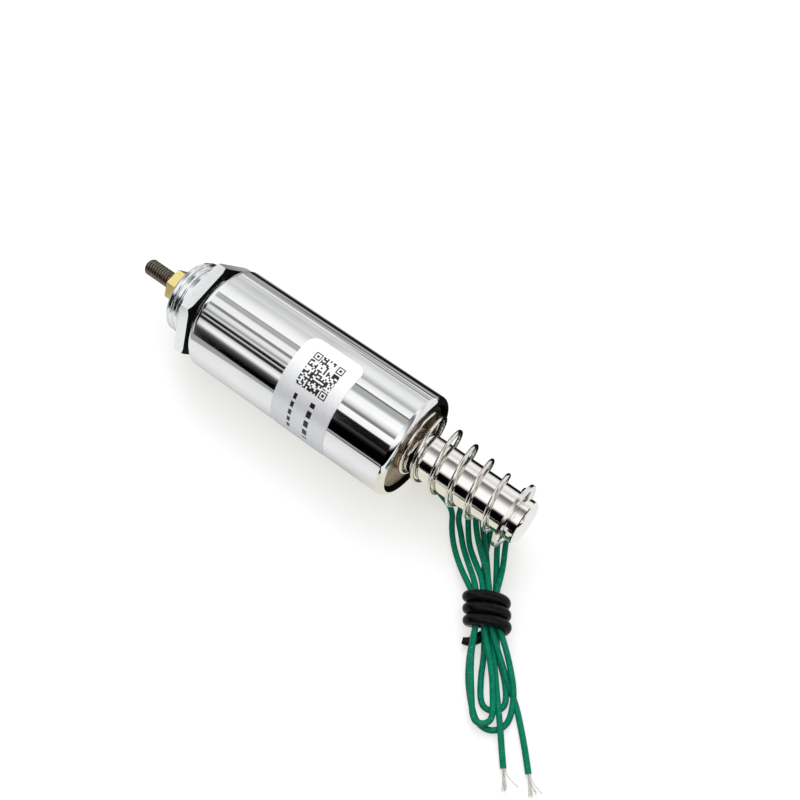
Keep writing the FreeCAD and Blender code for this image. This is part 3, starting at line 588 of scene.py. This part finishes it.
# How each bare wire of a stripped end runs, in mm: its length, and how far its tip strays aside and up.
# The first wire is in the middle and the others leave from a ring round it.
STRANDS_A = [
    (4.1, 0.1, -0.1), (4.3, 0.5, 0.0), (3.9, -0.3, -0.2), (4.2, 0.2, -0.1), (3.6, -2.4, -0.2), (4.0, 0.7, -0.1),
    (4.2, 0.0, -0.2),
]
STRANDS_B = [
    (4.1, 0.0, -0.1), (4.2, 0.4, 0.0), (4.0, -0.9, -0.1), (4.3, 0.1, -0.2), (3.8, -1.9, -0.2), (4.1, 0.3, -0.1),
    (3.5, -1.3, -0.1),
]
STRAND_RADIUS = 0.09
STRAND_RING = 0.27

# The tie in mm: its turns and the route points in each, its rise from turn to turn, where it begins and how it
# slants, its middle line's half width and half height, its middle's height, and how its free end tapers.
TIE_TURNS = 3
TIE_POINTS = 12
TIE_PITCH = 2.55
TIE_BEGIN = -3.1
TIE_SLANT = 0.03
TIE_HALF_WIDTH = 3.95
TIE_HALF_HEIGHT = 2.58
TIE_HEIGHT = 3.8
TIE_END = [(5.8, -2.3, 1.23), (6.3, -3.7, 1.1), (5.9, -4.9, 1.0)]
TIE_TAPER = (0.92, 0.78, 0.6)


def on_hank(along, across, height):
    """A point of the hank in the object's frame."""
    ahead_x, ahead_y = HANK_AHEAD
    return (HANK_AT[0] + ahead_x * along - ahead_y * across, HANK_AT[1] + ahead_y * along + ahead_x * across, height)


def cord_curve(name, points, diameter):
    """A cord as one smooth curve with the route's points as control points."""
    data = bpy.data.curves.new(name, "CURVE")
    data.dimensions = "3D"
    data.bevel_depth = diameter / 2 * MM
    data.bevel_resolution = 5
    data.resolution_u = 8
    data.use_fill_caps = True
    spline = data.splines.new("NURBS")
    spline.points.add(len(points) - 1)
    for control, point in zip(spline.points, points):
        control.co = (*(coordinate * MM for coordinate in point), 1)
    spline.order_u = 3
    spline.use_endpoint_u = True
    made = bpy.data.objects.new(name, data)
    bpy.context.scene.collection.objects.link(made)
    return made


def line_length(curve):
    """The length of a curve's centre line, in metres."""
    bare = bpy.data.objects.new("centre_line", curve.data.copy())
    bpy.context.scene.collection.objects.link(bare)
    bare.data.bevel_depth = 0
    bare.data.use_fill_caps = False
    bpy.context.view_layer.update()
    line = bpy.data.meshes.new_from_object(bare.evaluated_get(bpy.context.evaluated_depsgraph_get()))
    points = [vertex.co.copy() for vertex in line.vertices]
    bpy.data.meshes.remove(line)
    bpy.data.objects.remove(bare, do_unlink=True)
    return sum((after - before).length for before, after in zip(points, points[1:]))


def strands(name, end, before, spreads):
    """The bare end of a lead: fine tinned wires that fan out from the insulation."""
    data = bpy.data.curves.new(name, "CURVE")
    data.dimensions = "3D"
    data.bevel_depth = STRAND_RADIUS * MM
    data.bevel_resolution = 2
    data.resolution_u = 6
    data.use_fill_caps = True
    ahead = (Vector(end) - Vector(before)).normalized()
    aside = Vector((ahead.y, -ahead.x, 0)).normalized()
    for index, (reach, fan, rise) in enumerate(spreads):
        turn = 2 * math.pi * index / len(spreads)
        ring = 0.0 if index == 0 else STRAND_RING
        side = ring * math.cos(turn)
        lift = ring * math.sin(turn)
        points = [
            Vector(end) - ahead * 0.6 + aside * side + Vector((0, 0, lift)),
            Vector(end) + ahead * 0.5 + aside * (side + fan * 0.05) + Vector((0, 0, lift)),
            Vector(end) + ahead * reach * 0.55 + aside * (side + fan * 0.3) + Vector((0, 0, lift * 1.1 + rise * 0.3)),
            Vector(end) + ahead * reach + aside * (side + fan) + Vector((0, 0, lift * 0.8 + rise)),
        ]
        spline = data.splines.new("NURBS")
        spline.points.add(3)
        for control, point in zip(spline.points, points):
            control.co = (*(point * MM), 1)
        spline.order_u = 3
        spline.use_endpoint_u = True
    made = bpy.data.objects.new(name, data)
    bpy.context.scene.collection.objects.link(made)
    return made


def add_leads():
    """Both leads from the grommet to their stripped ends, and the tie round them."""
    green = lead_insulation()
    tinned = metal("tinned_wire", (0.93, 0.9, 0.85), 0.34, 0.08, 5.0)
    tie = cord_curve("hank_tie_cord", tie_route(), 2.45)
    tie.data.bevel_resolution = 8
    for control, size in zip(tie.data.splines[0].points[-len(TIE_TAPER):], TIE_TAPER):
        control.radius = size
    dress(tie, tie_plastic(), "housing", "tie_black", "hank_tie")
    for letter, leaving, hank, spreads in (
        ("a", LEAD_A_START, LEAD_A_HANK, STRANDS_A), ("b", LEAD_B_START, LEAD_B_HANK, STRANDS_B),
    ):
        points = leaving + [on_hank(*point) for point in hank]
        lead = cord_curve("lead_" + letter + "_cord", points, 1.3)
        dress(lead, green, "housing", "lead_green", "lead_" + letter, "lead_tail_" + letter, "lead_hank")
        bare = strands("bare_strands_" + letter, points[-1], points[-2], spreads)
        dress(bare, tinned, "housing", "tinned_strands", "strand_end_" + letter)
        round(line_length(lead), 3)


def tie_route():
    """The tie's three close turns round the hank's waist, and its free end."""
    points = []
    for step in range(TIE_TURNS * TIE_POINTS + 1):
        turn = 2 * math.pi * step / TIE_POINTS
        across = -TIE_HALF_WIDTH * math.sin(turn)
        along = TIE_BEGIN + TIE_PITCH * step / TIE_POINTS + TIE_SLANT * across
        height = TIE_HEIGHT - TIE_HALF_HEIGHT * math.cos(turn)
        points.append(on_hank(along, across, height))
    return points + [on_hank(*point) for point in TIE_END]


def add_can():
    """The tube, with wide rounded rims that are turned in at the bore."""
    bore = 11.0
    stations = rounded(-28.1, 11.1, 1.4, 180, 90) + rounded(24.1, 11.1, 1.4, 90, 0)
    stations += [(25.3, bore), (-29.3, bore)]
    stations.append(stations[0])
    can = turned("can_tube", stations, CAN_SIDES)
    smooth(can)
    dress(can, polished_can(), "housing", "can_chrome", "can")
    # Painted shade: the faces of the bore get a near-black second material, for the dark inside the turned-in rims.
    shaded(can, painted_shade_metal("bore_shade", 0.004), lambda face: off_axis(face) < bore + 0.25)


def add_rear_cap():
    """The rear cap in the can's end, with a deep groove at its rim painted near-black as shade, and a bore for the
    plunger.
    """
    cap = turned("rear_cap_disc", [
        (19.6, 5.6), (24.45, 5.6), (24.6, 5.75), (24.6, 10.05), (24.5, 10.2),
        (23.2, 10.25), (23.0, 10.6), (22.9, 10.95), (19.6, 10.95), (19.6, 5.6),
    ])
    smooth(cap)
    dress(cap, cap_metal(), "housing", "cap_steel", "rear_cap")
    # Painted shade: the groove's faces get a near-black second material.
    shaded(cap, painted_shade_metal("groove_shade", 0.004), lambda face: off_axis(face) > 10.21)


def add_label():
    """The label keeps its CAD shape and gets its printed film."""
    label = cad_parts["label"]
    label.data.materials.clear()
    label.data.materials.append(label_paper())


def threaded(name, begin, end, crest, root, pitch):
    """A threaded rod: one pitch of the profile wound into a screw, then cut flat at both ends."""
    start()
    bpy.ops.mesh.primitive_plane_add(size=0.1 * MM, location=((begin - 1.5 * pitch) * MM, 0, root * MM))
    piece = mesh_object(name)
    bpy.ops.object.mode_set(mode="EDIT")
    bpy.ops.mesh.select_mode(type="VERT")
    bpy.ops.mesh.select_all(action="SELECT")
    bpy.ops.mesh.merge(type="CENTER")
    flank = crest - root
    round_over = 0.04 * pitch
    for along, out in ((0.34, flank - round_over), (0.16, round_over), (0.16, -round_over), (0.34, round_over - flank)):
        bpy.ops.mesh.extrude_vertices_move(TRANSFORM_OT_translate={"value": (along * pitch * MM, 0, out * MM)})
    bpy.ops.object.mode_set(mode="OBJECT")
    screw = piece.modifiers.new("screw", "SCREW")
    screw.axis = "X"
    screw.angle = 2 * math.pi
    screw.screw_offset = pitch * MM
    screw.iterations = math.ceil((end - begin) / pitch) + 3
    screw.steps = 64
    screw.render_steps = 64
    screw.use_merge_vertices = True
    screw.merge_threshold = 1e-6
    bpy.ops.object.modifier_apply(modifier="screw")
    bpy.ops.object.mode_set(mode="EDIT")
    bpy.ops.mesh.select_all(action="SELECT")
    bpy.ops.mesh.remove_doubles(threshold=1e-6)
    for place, cleared in ((begin, "clear_inner"), (end, "clear_outer")):
        bpy.ops.mesh.bisect(
            plane_co=(place * MM, 0, 0), plane_no=(1, 0, 0), use_fill=True, threshold=1e-7, **{cleared: True},
        )
        bpy.ops.mesh.select_all(action="SELECT")
    bpy.ops.mesh.normals_make_consistent(inside=False)
    bpy.ops.transform.translate(value=(0, 0, AXIS_Z * MM))
    bpy.ops.object.mode_set(mode="OBJECT")
    return piece


def add_nose():
    """The threaded nose with its chamfered mouth, and the plate and core behind it."""
    zinc = metal("bright_zinc", (0.93, 0.95, 0.96), 0.13, 0.03, 1.2, 0.006)
    nose = threaded("threaded_nose", -39.5, -28.4, 9.0, 8.2, 1.5)
    combined(nose, turned("mouth", [
        (-41.0, 3.6), (-41.0, 6.8), (-38.7, 9.05), (-28.0, 9.05), (-28.0, 3.6), (-41.0, 3.6),
    ]), "INTERSECT")
    smooth(nose, 40)
    dress(nose, zinc, "housing", "zinc_steel")
    core = turned("front_core_body", [
        (-39.45, 3.51), (-39.45, 7.9), (-28.65, 8.1), (-28.6, 8.2), (-28.6, 10.95), (-24.3, 10.95), (-24.3, 5.58),
        (-9.5, 5.58), (-9.5, 5.08), (-12.5, 2.7), (-12.5, 2.4), (-33.5, 2.4), (-33.5, 3.51), (-39.45, 3.51),
    ])
    smooth(core)
    dress(core, zinc, "housing", "zinc_steel", "front_core")
    nut = hexagon("mounting_nut_hex", (-33.8, -31.1), 22.0, 24.2, 7.0, 9.02, 0.1)
    dress(nut, zinc, "housing", "zinc_steel", "mounting_nut")
    # Painted shade: the nut's faces towards the can get a near-black second material.
    shaded(nut, painted_shade_metal("clamped_face_painted_shade", 0.003), lambda face: face.normal.x > 0.4)


def hexagon(name, ends, across, face, turn, bore, edge):
    """A hexagon nut: a six-sided bar cut by cones at both faces, bored, with broken edges."""
    begin, end = ends
    start()
    bpy.ops.mesh.primitive_cylinder_add(
        vertices=6, radius=across / math.sqrt(3) * MM, depth=(end - begin) * MM, rotation=(0, 0, math.radians(turn)),
    )
    nut = mesh_object(name)
    nut.rotation_euler = (0, math.pi / 2, 0)
    nut.location = ((begin + end) / 2 * MM, 0, AXIS_Z * MM)
    bpy.ops.object.transform_apply(location=True, rotation=True, scale=True)
    corner = across / math.sqrt(3) + 1
    depth = (corner - face / 2) * math.tan(math.radians(30))
    combined(nut, turned("cones", [
        (begin - 0.01, face / 2 - 0.02), (begin + depth, corner), (end - depth, corner), (end + 0.01, face / 2 - 0.02),
    ]), "INTERSECT")
    combined(nut, turned("bore", [
        (begin - 1, bore + 1.5), (begin + 0.5, bore), (end - 0.5, bore), (end + 1, bore + 1.5),
    ]), "DIFFERENCE")
    return bevelled(nut, edge, 3, 25)


def add_plunger():
    """The plunger with the snap ring's groove, and its cone and rod bore inside."""
    nickel = metal("bright_nickel", (0.95, 0.93, 0.9), 0.06, 0.03, 0.7, 0.002)
    plunger = turned("plunger_pin", [
        (6.7, 2.02), (-2.3, 2.02), (-2.3, 2.6), (0.7, 5.0), (50.5, 5.0), (50.5, 4.0), (51.2, 4.0), (51.2, 5.0),
        (53.4, 5.0), (54.0, 4.4),
    ])
    bevelled(plunger, 0.12, 3, 20)
    dress(plunger, nickel, "plunger_assembly", "plunger_nickel", "plunger")
    # Painted reflection: the end chamfer's faces on the near (-Y) side get a near-black metal, a dark line painted
    # where a dark reflection falls.
    shaded(
        plunger, metal("chamfer_painted_dark", (0.03, 0.027, 0.024), 0.3, 0.1),
        lambda face: 0.1 < face.normal.x < 0.69 and face.center.x > 53 * MM and face.normal.y < 0.25,
    )


def spring_line(steps_per_turn):
    """Points of the wire's middle, with their angles: a closed turn on the cap, then a leaning cone of even pitch."""
    steps = round((SPRING_OPEN_TURNS + 1) * steps_per_turn)
    opening = [min(1, max(0, ((step + 0.5) / steps_per_turn - 1) / 0.25 + 0.5)) for step in range(steps)]
    opening = [share * share * (3 - 2 * share) for share in opening]
    open_pitch = (SPRING_RISE * steps_per_turn - SPRING_CLOSED_PITCH * steps) / sum(opening)
    along = 0.0
    points = []
    for step in range(steps + 1):
        left = 1 - along / SPRING_RISE
        angle = SPRING_PHASE + 2 * math.pi * step / steps_per_turn
        radius = SPRING_TOP_RADIUS + (SPRING_BASE_RADIUS - SPRING_TOP_RADIUS) * left
        across = radius * math.cos(angle) + SPRING_SHIFT * left * math.cos(SPRING_LEAN)
        up = radius * math.sin(angle) + SPRING_SHIFT * left * math.sin(SPRING_LEAN)
        points.append(Vector((SPRING_BASE + along, across, AXIS_Z + up)))
        if step < steps:
            along += (SPRING_CLOSED_PITCH + open_pitch * opening[step]) / steps_per_turn
    return points


def add_spring():
    """The conical return spring: its wire's round section extruded and turned from step to step."""
    points = spring_line(SPRING_STEPS)
    step_turn = 2 * math.pi / SPRING_STEPS
    axis = Vector((0, 0, AXIS_Z))
    start()
    bpy.ops.mesh.primitive_circle_add(
        vertices=16, radius=SPRING_WIRE / 2 * MM, fill_type="NGON", location=points[0] * MM,
        rotation=(SPRING_PHASE, 0, 0),
    )
    spring = mesh_object("return_spring_wire")
    bpy.ops.object.mode_set(mode="EDIT")
    bpy.ops.mesh.select_mode(type="EDGE")
    bpy.ops.mesh.select_all(action="SELECT")
    bpy.ops.mesh.delete(type="ONLY_FACE")
    bpy.ops.mesh.select_all(action="SELECT")
    bpy.ops.mesh.edge_face_add()
    for before, after in zip(points, points[1:]):
        bpy.ops.mesh.extrude_edges_move(TRANSFORM_OT_translate={"value": (0, 0, 0)})
        bpy.ops.transform.rotate(value=-step_turn, orient_axis="X", center_override=axis * MM)
        turned_point = axis + Matrix.Rotation(step_turn, 3, "X") @ (before - axis)
        bpy.ops.transform.translate(value=(after - turned_point) * MM)
    bpy.ops.mesh.edge_face_add()
    bpy.ops.mesh.select_all(action="SELECT")
    bpy.ops.mesh.normals_make_consistent(inside=False)
    bpy.ops.object.mode_set(mode="OBJECT")
    smooth(spring, 50)
    plate = metal("spring_plate", (0.84, 0.81, 0.77), 0.09, 0.05, 1.0)
    dress(spring, plate, "housing", "spring_nickel", "return_spring")
    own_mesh(spring)


def add_rod():
    """The push rod with its fine thread, and the bright yellow nut and the rubber bumper on it."""
    dark = metal("dark_oxide", (0.24, 0.21, 0.18), 0.26, 0.25, 2.0, 0.006)
    rod = threaded("push_rod_thread", -52.9, -42.05, 2.0, 1.62, 0.7)
    combined(rod, turned("rod_mouth", [(-53.4, 1.1), (-52.5, 2.02), (-41.0, 2.02)]), "INTERSECT")
    smooth(rod, 40)
    dress(rod, dark, "plunger_assembly", "rod_dark_steel")
    shank = turned("push_rod_shank", [(-42.3, 2.0), (6.7, 2.0)])
    bevelled(shank, 0.1, 2)
    dress(shank, dark, "plunger_assembly", "rod_dark_steel", "push_rod")
    nut = hexagon("rod_nut_hex", (-44.5, -41.3), 7.0, 7.7, 4.0, 2.03, 0.08)
    yellow = metal("yellow_zinc", (1.0, 0.8, 0.34), 0.24, 0.04, 1.0, 0.003)
    dress(nut, yellow, "plunger_assembly", "nut_yellow_zinc", "rod_nut")
    bumper = turned("bumper_ring", [
        (-41.3, 2.02), (-41.3, 3.75), (-41.15, 3.95), (-41.0, 4.0), (-40.45, 4.0), (-40.4, 4.3), (-40.2, 4.5),
        (-39.8, 4.5), (-39.62, 4.42), (-39.55, 4.25), (-39.55, 2.02), (-41.3, 2.02),
    ])
    bevelled(bumper, 0.06, 2, 20)
    black = rubber("bumper_surface", (0.012, 0.012, 0.013), 0.38, 0.03)
    dress(bumper, black, "plunger_assembly", "bumper_rubber", "bumper")


def add_inner_materials():
    """The pieces inside the can, and those whose CAD shape stays, each with its own finish."""
    finishes = {
        "bobbin": rubber("bobbin_plastic", (0.5, 0.48, 0.4), 0.5, 0.01),
        "coil_winding": metal("winding_copper", (0.75, 0.36, 0.18), 0.3, 0.15, 2.0, 0.05, (8, 1, 1)),
        "coil_wrap": rubber("wrap_tape", (0.55, 0.36, 0.07), 0.3, 0.01),
        "guide_sleeve": metal("sleeve_metal", (0.75, 0.6, 0.34), 0.25),
        "rod_bush": metal("bush_metal", (0.6, 0.42, 0.24), 0.35),
        "lead_grommet": rubber("grommet_surface", (0.02, 0.02, 0.02), 0.6, 0.02),
        "spring_clip": metal("clip_plate", (0.86, 0.84, 0.8), 0.16, 0.06, 1.0, 0.006),
    }
    for name, material in finishes.items():
        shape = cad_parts[name]
        shape.data.materials.clear()
        shape.data.materials.append(material)


def add_floor():
    """The plain floor, far wider than the view."""
    start()
    bpy.ops.mesh.primitive_plane_add(size=4.0, location=(0.1, 0.1, -0.0002))
    floor = mesh_object("floor")
    floor.data.materials.append(floor_surface())


def add_world():
    """A white studio: soft light from above, and dark flags that only polished metal mirrors, as long bands."""
    world = bpy.data.worlds.new("studio")
    bpy.context.scene.world = world
    world.use_nodes = True
    tree = world.node_tree
    tree.nodes.clear()
    along, across, up = axes(tree, "Generated")
    turn = spread(tree, calculated(tree, "ARCTAN2", calculated(tree, "ABSOLUTE", up), across), 0, 1, 0, math.pi)
    flags = ramp(tree, turn, shown(FLAGS_NOSE, 1 / 180))
    for parting, width, stops in FLAG_PARTINGS:
        share = spread(tree, along, 0, 1, parting - width / 2, parting + width / 2)
        flags = blend(tree, share, flags, ramp(tree, turn, shown(stops, 1 / 180)))
    mirror = node(tree, "Background")
    tree.links.new(flags, mirror.inputs["Color"])
    plain = node(tree, "Background")
    sky = ramp(tree, up, [(0.0, grey(0.03)), (0.45, grey(0.34)), (1.0, grey(1.55))])
    tree.links.new(sky, plain.inputs["Color"])
    seen = node(tree, "Background")
    seen.inputs["Color"].default_value = (1, 1, 1, 1)
    rays = node(tree, "LightPath")
    first = node(tree, "MixShader")
    tree.links.new(rays.outputs["Is Glossy Ray"], first.inputs["Fac"])
    tree.links.new(plain.outputs["Background"], first.inputs[1])
    tree.links.new(mirror.outputs["Background"], first.inputs[2])
    second = node(tree, "MixShader")
    tree.links.new(rays.outputs["Is Camera Ray"], second.inputs["Fac"])
    tree.links.new(first.outputs["Shader"], second.inputs[1])
    tree.links.new(seen.outputs["Background"], second.inputs[2])
    output = node(tree, "OutputWorld")
    tree.links.new(second.outputs["Shader"], output.inputs["Surface"])


def add_lights():
    """One soft key light, high on the far side towards the rod's end, which polished metal doesn't mirror."""
    key = bpy.data.lights.new("key", "AREA")
    key.size = 0.5
    key.energy = 2.8
    lamp = bpy.data.objects.new("key", key)
    bpy.context.scene.collection.objects.link(lamp)
    lamp.location = (-0.25, 0.35, 0.6)
    lamp.rotation_euler = (Vector((0, 0, 0)) - lamp.location).to_track_quat("-Z", "Y").to_euler()
    lamp.visible_glossy = False


add_camera()
add_leads()
add_can()
add_rear_cap()
add_label()
add_nose()
add_plunger()
add_spring()
add_rod()
add_inner_materials()
add_floor()
add_world()
add_lights()

scene = bpy.context.scene
scene.view_settings.view_transform = "Standard"
